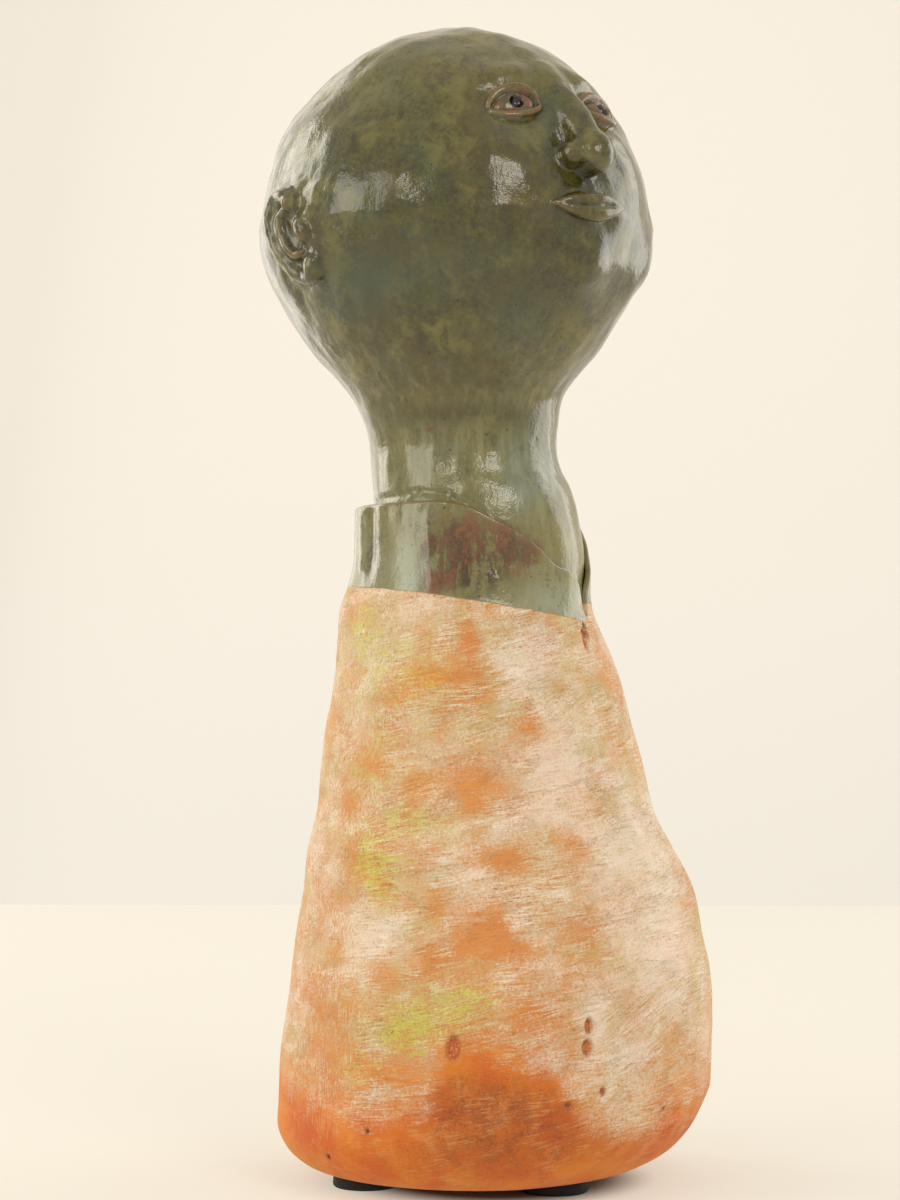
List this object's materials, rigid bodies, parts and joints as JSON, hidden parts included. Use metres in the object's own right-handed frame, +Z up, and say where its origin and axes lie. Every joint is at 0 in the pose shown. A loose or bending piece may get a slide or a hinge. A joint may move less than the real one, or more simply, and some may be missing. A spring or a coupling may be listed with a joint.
{
  "type": "terracotta figure",
  "caption": "Hand-built clay figure: a bald head tilted back on a neck, rising from the V collar of a coat-like body that widens to a rounded base on small rubber feet.",
  "frame": {"origin": "middle of the bounding box, on the surface the feet stand on", "axes": "+Z up along the figure's height; the coat's V collar opens towards -Y; +X is the figure's left"},
  "size_m": [0.1442, 0.1558, 0.3845],
  "materials": {
    "clay": "fired terracotta, bare and dry-brushed with pale and lime slips on the coat, dipped in a glossy grey-green glaze from the collar up",
    "foot_rubber": "matt"
  },
  "bodies": {
    "root": {"figure": "clay", "rubber_foot_1": "foot_rubber", "rubber_foot_2": "foot_rubber", "rubber_foot_3": "foot_rubber", "rubber_foot_4": "foot_rubber"}
  },
  "joints": []
}
